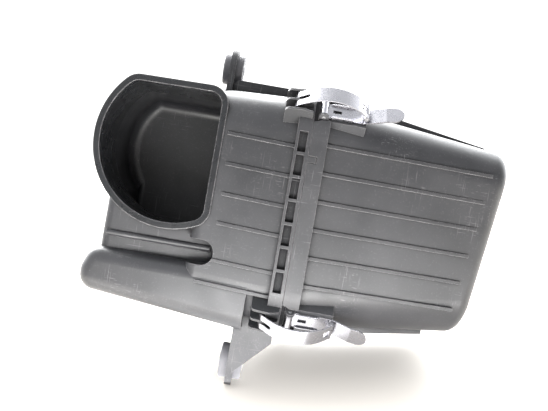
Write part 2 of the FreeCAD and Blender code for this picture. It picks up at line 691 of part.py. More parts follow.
# ---- Everything, one file for each piece ------------------------------------------------------------------
def build():
    base = base_solid()
    cover = cover_box(0.0)
    parts = {
        "base_shell": make_base_shell(base),
        "base_flange": make_base_flange(),
        "inlet_duct": make_inlet_duct(),
        "upper_latch_bracket": make_latch_bracket(base, True),
        "lower_latch_bracket": make_latch_bracket(base, False),
        "hinge_lugs": make_hinge_lugs(),
        "upper_mounting_ear": make_upper_ear(base),
        "lower_mounting_ear": make_lower_ear(base),
        "upper_grommet": make_grommet(UPPER_EAR),
        "lower_grommet": make_grommet(LOWER_EAR),
        "upper_bush": make_bush(UPPER_EAR),
        "lower_bush": make_bush(LOWER_EAR),
        "filter_gasket": make_filter_gasket(),
        "filter_frame": make_filter_frame(),
        "filter_pleats": make_filter_pleats(),
        "cover_shell": make_cover_shell(cover),
        "cover_flange": make_cover_flange(),
        "hinge_hooks": make_hinge_hooks(),
        "outlet_collar": make_outlet_collar(cover),
        "air_flow_sensor": make_sensor(),
        "sensor_terminals": make_sensor_pins(),
        "sensor_o_ring": make_sensor_ring(),
        "sensor_screws": make_sensor_screws(),
    }
    lug_end = LATCH_WIDE / 2 + LUG_GAP + LUG_THICK
    for side, upper in (("upper", True), ("lower", False)):
        parts[side + "_latch_seat"] = make_latch_seat(cover, upper)
        parts[side + "_pivot_pin"] = at_corner(make_pin(PIVOT, PIVOT_PIN, lug_end), upper)
        parts[side + "_latch_lever"] = at_corner(make_lever(), upper)
        parts[side + "_bow_pin"] = at_corner(make_pin(BOW_PIVOT, BOW_PIN, LATCH_WIDE / 2), upper)
        parts[side + "_latch_bow"] = at_corner(make_bow(), upper)
    return parts


def main():
    os.makedirs(OUT, exist_ok=True)
    for name, shape in build().items():
        shape.translate(-LOWER_EAR)
        shape.exportStep(os.path.join(OUT, name + ".step"))
        print(name, shape.isValid(), len(shape.Solids), round(shape.Volume / 1000, 2), "cm3")


main()
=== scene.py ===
"""Finishes, lever folds and studio for an air filter housing with toggle latches, mounts and a filter."""

import math

import bpy
from bpy.props import FloatProperty, FloatVectorProperty, PointerProperty
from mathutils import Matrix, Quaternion, Vector


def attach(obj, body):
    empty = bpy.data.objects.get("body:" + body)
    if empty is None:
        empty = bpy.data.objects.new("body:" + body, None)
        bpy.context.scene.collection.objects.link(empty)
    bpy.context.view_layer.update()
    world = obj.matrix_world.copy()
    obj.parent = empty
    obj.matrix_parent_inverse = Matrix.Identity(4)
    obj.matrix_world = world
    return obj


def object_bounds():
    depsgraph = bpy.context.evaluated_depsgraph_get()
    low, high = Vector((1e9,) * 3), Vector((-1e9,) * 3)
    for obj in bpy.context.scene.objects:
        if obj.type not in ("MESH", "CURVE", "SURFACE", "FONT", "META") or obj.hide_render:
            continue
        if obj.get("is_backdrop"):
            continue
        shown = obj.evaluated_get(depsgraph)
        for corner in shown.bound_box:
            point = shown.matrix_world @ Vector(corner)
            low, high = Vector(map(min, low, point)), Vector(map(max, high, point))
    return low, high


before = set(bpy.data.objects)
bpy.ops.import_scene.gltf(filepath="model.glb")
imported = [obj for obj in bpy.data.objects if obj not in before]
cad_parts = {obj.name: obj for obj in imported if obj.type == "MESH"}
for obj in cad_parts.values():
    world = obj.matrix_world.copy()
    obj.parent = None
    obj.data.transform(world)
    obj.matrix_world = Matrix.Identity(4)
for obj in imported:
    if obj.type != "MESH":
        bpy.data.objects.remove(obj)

bl_info = {
    "name": "Air Filter Housing",
    "version": (1, 0, 0),
    "blender": (4, 5, 0),
    "location": "3D View > Sidebar > Housing",
    "description": "Gives the housing its moulded, plated and rubber finishes and sets it on a pale table",
    "category": "Object",
}


# ---- What a user may change --------------------------------------------------------------------------------
class MouldedFinish(bpy.types.PropertyGroup):
    """Black moulded plastic of the base, cover and duct."""

    shell_colour: FloatVectorProperty(
        name="Shell colour", description="Plastic of base and cover", subtype="COLOR",
        default=(0.024, 0.025, 0.029), min=0.0, max=1.0)
    # Painted shade: a darker copy of the shell plastic, which paints the duct's inside near-black and darkens
    # the latch brackets.
    shaded_plastic_colour: FloatVectorProperty(
        name="Shaded plastic colour", description="Plastic darkened as painted shade, for the inlet duct and latch brackets", subtype="COLOR",
        default=(0.007, 0.008, 0.010), min=0.0, max=1.0)
    # Also the pale colour of the painted highlights along edges.
    dust_and_highlight_colour: FloatVectorProperty(
        name="Dust and highlight colour", description="Dry dust on the plastic, and the pale of painted edge highlights", subtype="COLOR",
        default=(0.34, 0.33, 0.345), min=0.0, max=1.0)
    roughness: FloatProperty(
        name="Satin", description="Roughness of the clean plastic", default=0.40, min=0.0, max=1.0,
        subtype="FACTOR")
    dust: FloatProperty(
        name="Dust", description="How much dust shows", default=0.5, min=0.0, max=1.0, subtype="FACTOR")
    scuffs: FloatProperty(
        name="Scuffs", description="How many light scratches show", default=0.5, min=0.0, max=1.0,
        subtype="FACTOR")
    # Pale edges are partly rubbed plastic and partly painted highlight.
    edge_wear_and_highlight: FloatProperty(
        name="Rubbed and highlit edges", description="How pale the edges of the plastic are", default=0.85, min=0.0,
        max=1.0, subtype="FACTOR")
    edge: FloatProperty(
        name="Edge radius", description="Tiny rounding that moulded edges catch light with",
        default=0.00045, min=0.0, max=0.003, unit="LENGTH")


class MetalFinish(bpy.types.PropertyGroup):
    """Plated latches and steel bushes."""

    zinc_colour: FloatVectorProperty(
        name="Zinc colour", description="Bright zinc plating of the latches", subtype="COLOR",
        default=(0.44, 0.437, 0.468), min=0.0, max=1.0)
    steel_colour: FloatVectorProperty(
        name="Steel colour", description="Bushes and pins", subtype="COLOR",
        default=(0.55, 0.55, 0.57), min=0.0, max=1.0)
    roughness: FloatProperty(
        name="Satin", description="Roughness of the plating", default=0.24, min=0.0, max=1.0,
        subtype="FACTOR")


class LeverFold(bpy.types.PropertyGroup):
    """Folded edges that stiffen each latch lever."""

    start: FloatProperty(
        name="Start", description="Where a fold starts, from the joint plane", default=0.0115, unit="LENGTH")
    length: FloatProperty(
        name="Length", description="Length at full height", default=0.0125, min=0.002, unit="LENGTH")
    run_out: FloatProperty(
        name="Run-out", description="How far each end tapers off", default=0.0025, min=0.0005, unit="LENGTH")
    height: FloatProperty(
        name="Height", description="Top of the fold above the strip", default=0.0014, min=0.0005,
        unit="LENGTH")
    thickness: FloatProperty(
        name="Thickness", description="Thickness of the folded edge", default=0.0011, min=0.0005,
        unit="LENGTH")


class SoftFinish(bpy.types.PropertyGroup):
    """Rubber grommets, gasket and the filter's card and paper."""

    grommet_colour: FloatVectorProperty(
        name="Grommet rubber", description="Weathered rubber of the mounts", subtype="COLOR",
        default=(0.16, 0.16, 0.175), min=0.0, max=1.0)
    gasket_colour: FloatVectorProperty(
        name="Gasket rubber", description="Seal round the filter", subtype="COLOR",
        default=(0.022, 0.022, 0.023), min=0.0, max=1.0)
    paper_colour: FloatVectorProperty(
        name="Filter paper", description="Pleated paper", subtype="COLOR",
        default=(0.62, 0.52, 0.34), min=0.0, max=1.0)


class StudioSettings(bpy.types.PropertyGroup):
    """Camera, table and light."""

    camera_place: FloatVectorProperty(
        name="Camera", description="Where the camera stands", subtype="TRANSLATION", unit="LENGTH",
        default=(0.00855, -0.5030, 0.1232))
    camera_target: FloatVectorProperty(
        name="Target", description="What the camera looks at", subtype="TRANSLATION", unit="LENGTH",
        default=(0.01175, -0.045, 0.1216))
    camera_roll: FloatProperty(
        name="Roll", description="Turn of the camera about its own axis", subtype="ANGLE",
        default=math.radians(9.8))
    lens: FloatProperty(name="Lens", description="Focal length", default=43.49, min=1.0, unit="CAMERA")
    table_rise: FloatVectorProperty(
        name="Table direction", description="Upward direction of the table the housing leans on",
        subtype="DIRECTION", default=(-0.173, -0.113, 1.0))
    table_colour: FloatVectorProperty(
        name="Table colour", description="Plain pale table", subtype="COLOR",
        default=(0.90, 0.85, 0.78), min=0.0, max=1.0)
    table_light: FloatProperty(
        name="Table light", description="How much the table shines by itself", default=0.2, min=0.0)
    window_power: FloatProperty(
        name="Window light", description="Power of the soft light behind and above", default=85.0, min=0.0,
        unit="POWER")
    fill_power: FloatProperty(
        name="Low fill", description="Power of the long soft light low in front", default=1.75, min=0.0,
        unit="POWER")
    glow_power: FloatProperty(
        name="Table glow", description="Power of the light thrown up under the lobe by a brightly lit table",
        default=0.35, min=0.0, unit="POWER")
    sky_behind: FloatProperty(
        name="Light from behind", description="Brightness of the room behind the housing", default=5.0,
        min=0.0)
    sky_above: FloatProperty(
        name="Light from above", description="Brightness of the ceiling", default=1.2, min=0.0)
    sky_front: FloatProperty(
        name="Light from the front", description="Brightness of the room at the camera's side", default=0.4,
        min=0.0)


# ---- Node helpers ------------------------------------------------------------------------------------------
def add_node(tree, kind, settings=None, **inputs):
    """Adds a shader node, sets its options, and joins or fills its sockets by name."""
    made = tree.nodes.new("ShaderNode" + kind)
    for name, value in (settings or {}).items():
        setattr(made, name, value)
    for name, value in inputs.items():
        join(tree, made.inputs[name.replace("_", " ")], value)
    return made


def join(tree, socket, value):
    if isinstance(value, bpy.types.NodeSocket):
        tree.links.new(value, socket)
    elif socket.type == "RGBA" and len(value) == 3:
        socket.default_value = (*value, 1.0)
    else:
        socket.default_value = value


def maths(tree, operation, first, second=0.0, clamp=False):
    made = tree.nodes.new("ShaderNodeMath")
    made.operation = operation
    made.use_clamp = clamp
    join(tree, made.inputs[0], first)
    join(tree, made.inputs[1], second)
    return made.outputs[0]


def ramp(tree, value, low, high, to_low=0.0, to_high=1.0):
    """Value taken from one range to another, and held at its ends."""
    made = tree.nodes.new("ShaderNodeMapRange")
    for place, given in enumerate((value, low, high, to_low, to_high)):
        join(tree, made.inputs[place], given)
    return made.outputs[0]


def mixed(tree, factor, first, second, blend="MIX"):
    """Two colours mixed by a factor."""
    made = tree.nodes.new("ShaderNodeMix")
    made.data_type = "RGBA"
    made.blend_type = blend
    join(tree, made.inputs[0], factor)
    join(tree, made.inputs[6], first)
    join(tree, made.inputs[7], second)
    return made.outputs[2]


def noise(tree, vector, scale, detail=3.0, rough=0.55):
    made = add_node(tree, "TexNoise", Vector=vector, Scale=scale, Detail=detail, Roughness=rough)
    return made.outputs["Fac"]


def stretched(tree, vector, turn, scale):
    """Object coordinates turned and stretched, so that a pattern runs one way."""
    made = add_node(tree, "Mapping", Vector=vector, Rotation=turn, Scale=scale)
    return made.outputs["Vector"]


def new_group(name, inputs, outputs):
    """An empty node group with float or vector sockets; returns the tree and its input and output nodes."""
    tree = bpy.data.node_groups.new(name, "ShaderNodeTree")
    for label, kind, start in inputs:
        socket = tree.interface.new_socket(name=label, in_out="INPUT", socket_type=kind)
        if start is not None:
            socket.default_value = start
    for label, kind in outputs:
        tree.interface.new_socket(name=label, in_out="OUTPUT", socket_type=kind)
    return tree, tree.nodes.new("NodeGroupInput").outputs, tree.nodes.new("NodeGroupOutput").inputs


def placed(tree, name, **inputs):
    """A shared group placed in a material with its own values; returns its outputs."""
    made = tree.nodes.new("ShaderNodeGroup")
    made.node_tree = bpy.data.node_groups[name]
    for label, value in inputs.items():
        join(tree, made.inputs[label.replace("_", " ")], value)
    return made.outputs


# ---- Shared effects ----------------------------------------------------------------------------------------
def build_grain_group():
    """Fine satin grain of a moulded or sprayed surface."""
    tree, given, out = new_group(
        "Fine grain", [("Vector", "NodeSocketVector", None), ("Scale", "NodeSocketFloat", 1500.0)],
        [("Height", "NodeSocketFloat")])
    fine = noise(tree, given["Vector"], given["Scale"], 2.0)
    wide = noise(tree, given["Vector"], maths(tree, "MULTIPLY", given["Scale"], 0.06), 2.0)
    tree.links.new(maths(tree, "ADD", fine, maths(tree, "MULTIPLY", wide, 1.5)), out["Height"])


def build_dust_group():
    """Dust: soft patches, broken up by specks."""
    tree, given, out = new_group(
        "Dust", [("Vector", "NodeSocketVector", None), ("Scale", "NodeSocketFloat", 20.0),
                 ("Amount", "NodeSocketFloat", 0.5)],
        [("Mask", "NodeSocketFloat")])
    patches = ramp(tree, noise(tree, given["Vector"], given["Scale"], 4.0), 0.35, 0.75)
    small = maths(tree, "MULTIPLY", given["Scale"], 45.0)
    specks = ramp(tree, noise(tree, given["Vector"], small, 1.0), 0.62, 0.74)
    both = maths(tree, "ADD", maths(tree, "MULTIPLY", patches, 0.35), maths(tree, "MULTIPLY", specks, 0.5))
    tree.links.new(maths(tree, "MULTIPLY", both, given["Amount"], True), out["Mask"])


def build_scuff_group():
    """Scuffs: thin scratches in two directions, only in some places."""
    tree, given, out = new_group(
        "Scuffs", [("Vector", "NodeSocketVector", None), ("Scale", "NodeSocketFloat", 30.0),
                   ("Amount", "NodeSocketFloat", 0.5)],
        [("Mask", "NodeSocketFloat")])
    lines = []
    for turn, thin in (((0.3, 0.5, 0.2), (1.0, 40.0, 40.0)), ((0.9, -0.7, 0.4), (45.0, 45.0, 1.3))):
        run = stretched(tree, given["Vector"], turn, thin)
        lines.append(ramp(tree, noise(tree, run, given["Scale"], 1.0), 0.66, 0.72))
    wide = maths(tree, "MULTIPLY", given["Scale"], 0.7)
    where = ramp(tree, noise(tree, given["Vector"], wide, 2.0), 0.5, 0.62)
    both = maths(tree, "MULTIPLY", maths(tree, "MAXIMUM", *lines), where)
    tree.links.new(maths(tree, "MULTIPLY", both, given["Amount"], True), out["Mask"])


def build_edge_group():
    """Paler edges: finds convex and concave edges, for a mask that is partly rubbed plastic and partly
    painted highlight, and gives the rounded normal with them.
    """
    tree, given, out = new_group(
        "Worn and highlit edges", [("Vector", "NodeSocketVector", None), ("Radius", "NodeSocketFloat", 0.0005),
                      ("Amount", "NodeSocketFloat", 0.5)],
        [("Mask", "NodeSocketFloat"), ("Normal", "NodeSocketVector")])
    soft = add_node(tree, "Bevel", {"samples": 4}, Radius=given["Radius"]).outputs["Normal"]
    sharp = add_node(tree, "NewGeometry").outputs["Normal"]
    dot = add_node(tree, "VectorMath", {"operation": "DOT_PRODUCT"})
    tree.links.new(soft, dot.inputs[0])
    tree.links.new(sharp, dot.inputs[1])
    bent = ramp(tree, dot.outputs["Value"], 0.995, 0.85)
    broken = ramp(tree, noise(tree, given["Vector"], 260.0, 3.0), 0.3, 0.6, 0.25, 1.0)
    # painted highlight along edges, with some rubbing: pale where the rounded normal bends away
    worn_and_highlit = maths(tree, "MULTIPLY", bent, broken)
    tree.links.new(maths(tree, "MULTIPLY", worn_and_highlit, given["Amount"], True), out["Mask"])
    tree.links.new(soft, out["Normal"])


def build_painted_shade_group():
    """Painted shade: a mask that darkens the colour where a surface lies sunk between others."""
    tree, given, out = new_group(
        "Painted crevice shade", [("Distance", "NodeSocketFloat", 0.006), ("Amount", "NodeSocketFloat", 0.7)],
        [("Mask", "NodeSocketFloat")])
    # painted shade: ambient occlusion turned into a darkening mask
    light = add_node(tree, "AmbientOcclusion", {"samples": 6}, Distance=given["Distance"]).outputs["AO"]
    painted_shade = ramp(tree, light, 0.80, 0.35)
    tree.links.new(maths(tree, "MULTIPLY", painted_shade, given["Amount"], True), out["Mask"])


# ---- Materials ---------------------------------------------------------------------------------------------
def new_material(name):
    """A material with its output and Principled nodes only; also returns its tree, shader and coordinates."""
    made = bpy.data.materials.new(name)
    made.use_nodes = True
    tree = made.node_tree
    tree.nodes.clear()
    shader = tree.nodes.new("ShaderNodeBsdfPrincipled")
    output = tree.nodes.new("ShaderNodeOutputMaterial")
    tree.links.new(shader.outputs[0], output.inputs["Surface"])
    return made, tree, shader, tree.nodes.new("ShaderNodeTexCoord").outputs["Object"]


def bumped(tree, height, strength, distance, normal):
    made = add_node(tree, "Bump", Height=height, Strength=strength, Distance=distance, Normal=normal)
    return made.outputs["Normal"]


def moulded_plastic(name, colour, roughness, dust, scuffs, grain=1500.0, shade_reach=0.006, rounding=1.0):
    """Satin moulded plastic with dust, light scratches, paler edges that are partly rubbed and partly painted
    highlight, and painted shade in crevices.
    """
    look = bpy.context.scene.moulded_finish
    made, tree, shader, where = new_material(name)
    edge = placed(tree, "Worn and highlit edges", Vector=where, Radius=look.edge * rounding, Amount=look.edge_wear_and_highlight)
    dusty = placed(tree, "Dust", Vector=where, Scale=18.0, Amount=dust)["Mask"]
    marks = placed(tree, "Scuffs", Vector=where, Scale=34.0, Amount=scuffs)["Mask"]
    tone = ramp(tree, noise(tree, where, 9.0, 3.0), 0.3, 0.7, 0.82, 1.25)
    plain = mixed(tree, 1.0, colour, add_grey(tree, tone), "MULTIPLY")
    # Painted shade: the colour goes near-black where the surface lies sunk between others
    painted_shade = placed(tree, "Painted crevice shade", Distance=shade_reach, Amount=0.85)["Mask"]
    shaded = mixed(tree, painted_shade, plain, (0.002, 0.002, 0.003))
    # Paler edges: partly rubbed plastic, partly painted highlight
    worn_and_highlit = mixed(tree, edge["Mask"], shaded, look.dust_and_highlight_colour)
    marked = mixed(tree, maths(tree, "MULTIPLY", marks, 0.55), worn_and_highlit, look.dust_and_highlight_colour)
    join(tree, shader.inputs["Base Color"], mixed(tree, dusty, marked, look.dust_and_highlight_colour))
    shader.inputs["Specular IOR Level"].default_value = 0.75
    satin = ramp(tree, noise(tree, where, 60.0, 4.0), 0.3, 0.7, roughness - 0.05, roughness + 0.06)
    dull = maths(tree, "ADD", satin, maths(tree, "ADD", maths(tree, "MULTIPLY", dusty, 0.35), painted_shade))
    polished = maths(tree, "MULTIPLY", edge["Mask"], 0.1)
    join(tree, shader.inputs["Roughness"], maths(tree, "SUBTRACT", dull, polished))
    height = placed(tree, "Fine grain", Vector=where, Scale=grain)["Height"]
    join(tree, shader.inputs["Normal"], bumped(tree, height, 0.6, 0.00002, edge["Normal"]))
    return made


def add_grey(tree, value):
    """A value as a grey colour."""
    made = add_node(tree, "CombineColor", Red=value, Green=value, Blue=value)
    return made.outputs["Color"]


def plated_metal(name, colour, roughness, cloud=0.2):
    """Bright plating: cloudy, faintly scratched, a little duller where it's handled."""
    made, tree, shader, where = new_material(name)
    shader.inputs["Metallic"].default_value = 1.0
    edge = placed(tree, "Worn and highlit edges", Vector=where, Radius=0.0003, Amount=0.6)
    haze = noise(tree, where, 120.0, 5.0, 0.65)
    marks = placed(tree, "Scuffs", Vector=where, Scale=60.0, Amount=0.8)["Mask"]
    tone = ramp(tree, haze, 0.3, 0.7, 1.0 - cloud, 1.0)
    plain = mixed(tree, 1.0, colour, add_grey(tree, tone), "MULTIPLY")
    scratched = mixed(tree, maths(tree, "MULTIPLY", marks, 0.4), plain, (0.3, 0.3, 0.33))
    join(tree, shader.inputs["Base Color"], scratched)
    satin = ramp(tree, haze, 0.3, 0.7, roughness + 0.1, roughness - 0.04)
    join(tree, shader.inputs["Roughness"], maths(tree, "ADD", satin, maths(tree, "MULTIPLY", marks, 0.15)))
    height = placed(tree, "Fine grain", Vector=where, Scale=900.0)["Height"]
    join(tree, shader.inputs["Normal"], bumped(tree, height, 0.4, 0.00001, edge["Normal"]))
    return made


def moulded_rubber(name, colour, roughness, bloom):
    """Rubber with a pale bloom, paler edges that are partly rubbed and partly painted highlight, and a
    slightly porous skin.
    """
    look = bpy.context.scene.moulded_finish
    made, tree, shader, where = new_material(name)
    edge = placed(tree, "Worn and highlit edges", Vector=where, Radius=0.0006, Amount=0.8)
    dusty = placed(tree, "Dust", Vector=where, Scale=60.0, Amount=bloom)["Mask"]
    # paler edges: partly rubbed rubber, partly painted highlight
    rim = mixed(tree, maths(tree, "MULTIPLY", edge["Mask"], 0.4), colour, look.dust_and_highlight_colour)
    join(tree, shader.inputs["Base Color"], mixed(tree, dusty, rim, look.dust_and_highlight_colour))
    join(tree, shader.inputs["Roughness"], maths(tree, "ADD", maths(tree, "MULTIPLY", dusty, 0.3), roughness))
    height = placed(tree, "Fine grain", Vector=where, Scale=1100.0)["Height"]
    join(tree, shader.inputs["Normal"], bumped(tree, height, 0.8, 0.00003, edge["Normal"]))
    return made


def filter_paper(name, colour, fibre):
    """Card or paper with matted fibres and grey where it has caught dust."""
    made, tree, shader, where = new_material(name)
    fibres = noise(tree, stretched(tree, where, (0.4, 0.2, 0.9), (1.0, 3.0, 6.0)), fibre, 5.0, 0.7)
    dusty = placed(tree, "Dust", Vector=where, Scale=30.0, Amount=0.8)["Mask"]
    tone = mixed(tree, 1.0, colour, add_grey(tree, ramp(tree, fibres, 0.3, 0.7, 0.8, 1.1)), "MULTIPLY")
    join(tree, shader.inputs["Base Color"], mixed(tree, dusty, tone, (0.12, 0.11, 0.10)))
    join(tree, shader.inputs["Roughness"], ramp(tree, fibres, 0.3, 0.7, 0.8, 0.95))
    flat = add_node(tree, "NewGeometry").outputs["Normal"]
    join(tree, shader.inputs["Normal"], bumped(tree, fibres, 0.6, 0.00008, flat))
    return made


def finish_nodes(material, *names):
    """Gives CAD nodes or new pieces one material."""
    for name in names:
        piece = bpy.data.objects[name]
        piece.data.materials.clear()
        piece.data.materials.append(material)


# ---- Operators: finishes -----------------------------------------------------------------------------------
class HOUSING_OT_effects(bpy.types.Operator):
    """Builds the shared grain, dust, scuff, rubbed-and-highlit edge, and painted shade effects"""

    bl_idname = "housing.effects"
    bl_label = "Shared effects"

    def execute(self, context):
        build_grain_group()
        build_dust_group()
        build_scuff_group()
        build_edge_group()
        build_painted_shade_group()
        return {"FINISHED"}


class HOUSING_OT_shells(bpy.types.Operator):
    """Finishes base, cover, flanges, hinge and mounting ears in satin black plastic"""

    bl_idname = "housing.shells"
    bl_label = "Shells and flanges"

    def execute(self, context):
        look = context.scene.moulded_finish
        pale, dark = look.shell_colour, look.shaded_plastic_colour
        rough, dust, scuffs = look.roughness, look.dust, look.scuffs
        body = moulded_plastic("Body plastic", pale, rough, dust * 0.30, scuffs)
        finish_nodes(body, "base_shell", "cover_shell")
        # Flanges and latch seats get a longer reach of painted shade in their pockets
        flange = moulded_plastic(
            "Flange plastic", pale, rough + 0.02, dust * 0.36, scuffs * 1.3, shade_reach=0.010)
        finish_nodes(flange, "base_flange", "cover_flange", "upper_latch_seat", "lower_latch_seat")
        # Brackets use the darker, painted-shade copy of the plastic
        bracket = moulded_plastic("Bracket plastic", dark, rough, dust * 0.2, scuffs)
        finish_nodes(bracket, "upper_latch_bracket", "lower_latch_bracket", "hinge_lugs", "hinge_hooks")
        ear = moulded_plastic("Ear plastic", pale, rough + 0.08, dust * 0.5, scuffs)
        finish_nodes(ear, "upper_mounting_ear", "lower_mounting_ear")
        return {"FINISHED"}


class HOUSING_OT_ducts(bpy.types.Operator):
    """Finishes the inlet duct and the outlet collar"""

    bl_idname = "housing.ducts"
    bl_label = "Inlet and outlet"

    def execute(self, context):
        look = context.scene.moulded_finish
        # Painted shade: the darker copy of the plastic and a long reach of painted shade darken the duct's
        # inside, and wider pale edges paint highlights on its rim
        duct = moulded_plastic(
            "Duct plastic", look.shaded_plastic_colour, look.roughness - 0.12, look.dust * 0.10, look.scuffs * 0.3,
            shade_reach=0.06, rounding=2.4)
        finish_nodes(duct, "inlet_duct", "outlet_collar")
        return {"FINISHED"}


class HOUSING_OT_latches(bpy.types.Operator):
    """Finishes levers, bows and pins of both latches in bright zinc"""

    bl_idname = "housing.latches"
    bl_label = "Latches"

    def execute(self, context):
        look = context.scene.metal_finish
        zinc = plated_metal("Zinc plating", look.zinc_colour, look.roughness)
        pin = plated_metal("Latch pin", look.steel_colour, look.roughness + 0.08)
        for side in ("upper", "lower"):
            finish_nodes(zinc, side + "_latch_lever", side + "_latch_bow")
            finish_nodes(pin, side + "_pivot_pin", side + "_bow_pin")
        return {"FINISHED"}


class HOUSING_OT_mounts(bpy.types.Operator):
    """Finishes the rubber grommets and their steel bushes"""

    bl_idname = "housing.mounts"
    bl_label = "Mounts"

    def execute(self, context):
        look = context.scene.soft_finish
        rubber = moulded_rubber("Grommet rubber", look.grommet_colour, 0.55, 0.6)
        finish_nodes(rubber, "upper_grommet", "lower_grommet")
        bush = plated_metal("Bush steel", context.scene.metal_finish.steel_colour, 0.32, 0.35)
        finish_nodes(bush, "upper_bush", "lower_bush")
        return {"FINISHED"}


class HOUSING_OT_filter(bpy.types.Operator):
    """Finishes the filter's gasket, card frame and pleated paper"""

    bl_idname = "housing.filter"
    bl_label = "Filter"

    def execute(self, context):
        look = context.scene.soft_finish
        finish_nodes(moulded_rubber("Gasket rubber", look.gasket_colour, 0.6, 0.3), "filter_gasket")
        finish_nodes(filter_paper("Filter card", (0.40, 0.33, 0.22), 900.0), "filter_frame")
        finish_nodes(filter_paper("Filter paper", look.paper_colour, 1500.0), "filter_pleats")
        return {"FINISHED"}


class HOUSING_OT_sensor(bpy.types.Operator):
    """Finishes the air flow sensor, its seal, screws and terminals"""

    bl_idname = "housing.sensor"
    bl_label = "Air flow sensor"

    def execute(self, context):
        look = context.scene.moulded_finish
        black = (0.030, 0.030, 0.032)
        body = moulded_plastic("Sensor plastic", black, 0.5, look.dust * 0.3, look.scuffs, 900.0)
        finish_nodes(body, "air_flow_sensor")
        finish_nodes(moulded_rubber("Seal rubber", (0.02, 0.02, 0.02), 0.45, 0.1), "sensor_o_ring")
        finish_nodes(plated_metal("Terminal tin", (0.78, 0.74, 0.66), 0.25), "sensor_terminals")
        finish_nodes(plated_metal("Black screw", (0.06, 0.06, 0.065), 0.35), "sensor_screws")
        return {"FINISHED"}


# ---- Operator: folded edges of the levers ------------------------------------------------------------------
CORNER_CENTRE = Vector((0.031, -0.012, 0.119))  # the two corners' rounding is centred above and below this
CORNER_RISE = 0.055005
LATCH_TURN = math.radians(50.0)  # each latch faces this far round from upright
LEVER_TOP = 0.03084  # the strip's upper side, out from the corner's centre
LEVER_HALF = 0.0070
FOLD_FOOT = 0.0004  # how deep the fold's foot sits inside the strip
FOLD_ROUNDING = 0.00028
END_WIDTH = 0.8  # an end's size, as a share of the fold's
END_HEIGHT = 0.35
END_DROP = 0.32  # how far an end's middle drops, as a share of the height


def choose_faces(piece, test):
    """In edit mode, selects only the faces whose normal and middle pass the test."""
    bpy.ops.mesh.select_all(action="DESELECT")
    bpy.ops.object.mode_set(mode="OBJECT")
    for face in piece.data.polygons:
        face.select = test(face.normal, face.center)
    bpy.ops.object.mode_set(mode="EDIT")


def model_fold(look):
    """One folded edge, modelled along X with its foot on the strip, tapering off at both ends."""
    bpy.ops.object.select_all(action="DESELECT")
    bpy.ops.mesh.primitive_cube_add(size=1.0)
    fold = bpy.context.object
    fold.scale = (look.length, look.thickness, look.height + FOLD_FOOT)
    fold.location = (
        look.start + look.length / 2, look.thickness / 2 - LEVER_HALF,
        LEVER_TOP + look.height / 2 - FOLD_FOOT / 2)
    bpy.ops.object.transform_apply(location=True, rotation=False, scale=True)
    bpy.ops.object.mode_set(mode="EDIT")
    bpy.ops.mesh.select_mode(type="FACE")
    for way in (-1.0, 1.0):
        choose_faces(fold, lambda normal, middle: normal.x * way > 0.9)
        bpy.ops.mesh.extrude_region_move(TRANSFORM_OT_translate={"value": (way * look.run_out, 0.0, 0.0)})
        bpy.ops.transform.resize(value=(1.0, END_WIDTH, END_HEIGHT))
        bpy.ops.transform.translate(value=(0.0, 0.0, -END_DROP * look.height))
    bpy.ops.mesh.select_all(action="SELECT")
    bpy.ops.mesh.bevel(offset=FOLD_ROUNDING, segments=3, affect="EDGES")
    bpy.ops.mesh.select_all(action="SELECT")
    bpy.ops.mesh.normals_make_consistent(inside=False)
    bpy.ops.object.mode_set(mode="OBJECT")
    return fold


def copy_of(piece, move):
    """A copy with its own mesh, moved, and alone in the selection."""
    bpy.ops.object.select_all(action="DESELECT")
    piece.select_set(True)
    bpy.context.view_layer.objects.active = piece
    bpy.ops.object.duplicate(linked=False)
    made = bpy.context.object
    made.location = move
    bpy.ops.object.transform_apply(location=True, rotation=False, scale=False)
    return made


class HOUSING_OT_folds(bpy.types.Operator):
    """Adds the folded edges that stiffen both levers"""

    bl_idname = "housing.folds"
    bl_label = "Lever folds"

    def execute(self, context):
        look = context.scene.lever_fold
        near = model_fold(look)
        copy_of(near, (0.0, 2 * LEVER_HALF - look.thickness, 0.0))
        near.select_set(True)
        context.view_layer.objects.active = near
        bpy.ops.object.join()
        upper = near
        lower = copy_of(upper, (0.0, 0.0, 0.0))
        places = (
            (upper, "upper", LATCH_TURN, CORNER_RISE),
            (lower, "lower", math.pi - LATCH_TURN, -CORNER_RISE),
        )
        zinc = bpy.data.materials["Zinc plating"]
        for piece, side, turn, rise in places:
            bpy.ops.object.select_all(action="DESELECT")
            piece.select_set(True)
            context.view_layer.objects.active = piece
            piece.name = piece.data.name = side + "_lever_folds"
            piece.rotation_euler = (turn, 0.0, 0.0)
            piece.location = CORNER_CENTRE + Vector((0.0, 0.0, rise))
            bpy.ops.object.transform_apply(location=True, rotation=True, scale=False)
            bpy.ops.object.shade_smooth_by_angle(angle=math.radians(35.0))
            finish_nodes(zinc, piece.name)
            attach(piece, side + "_lever")
        return {"FINISHED"}


# ---- Operator: studio --------------------------------------------------------------------------------------
TABLE_RADIUS = 4.0
BACKDROP_STRENGTH = 1.6  # what the camera sees behind the housing
SIDE_SHARES = (1.45, 0.40)  # the room's brightness at the left and at the right
WINDOW_PLACE = Vector((-0.55, 1.05, 1.10))  # from the housing's middle
FILL_PLACE = Vector((0.17, -0.17, 0.02))  # from the middle, the front and the lowest point
FILL_AIM = Vector((0.0, 0.17, 0.06))
GLOW_PLACE = Vector((0.05, -0.06, 0.0))  # from the left end and the front
GLOW_HEIGHT = 0.006  # above the table


def lowest_along(direction):
    """How low the shown object reaches along a direction."""
    low = 1e9
    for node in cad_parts.values():
        low = min(low, min(direction.dot(v.co) for v in node.data.vertices))
    return low


